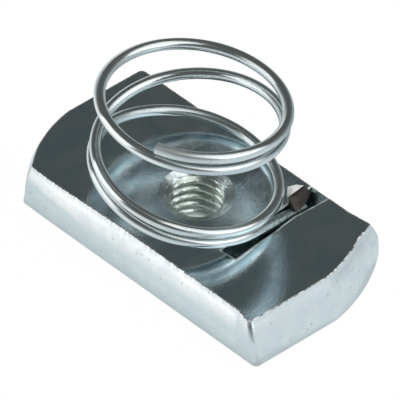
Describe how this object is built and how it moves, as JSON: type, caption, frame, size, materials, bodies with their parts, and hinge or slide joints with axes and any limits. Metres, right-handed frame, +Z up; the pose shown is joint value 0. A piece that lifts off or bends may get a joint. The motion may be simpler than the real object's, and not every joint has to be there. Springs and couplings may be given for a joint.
{
  "type": "strut spring nut",
  "caption": "Rectangular strut channel nut with a tapped centre hole, twist-in corners and a coil spring staked to its top face.",
  "frame": {"origin": "on the axis of the threaded hole, at the flat underside that clamps against the channel's lips", "axes": "+X along the plate's length, +Y across it, +Z up from the underside through the plate to the spring"},
  "size_m": [0.0339, 0.0193, 0.0196],
  "materials": {
    "zinc_plate": "bright zinc plated steel, smooth and cloudy",
    "spring_wire": "bright zinc plated drawn wire"
  },
  "bodies": {
    "root": {"nut_plate": "zinc_plate", "spring": "spring_wire"}
  },
  "joints": []
}
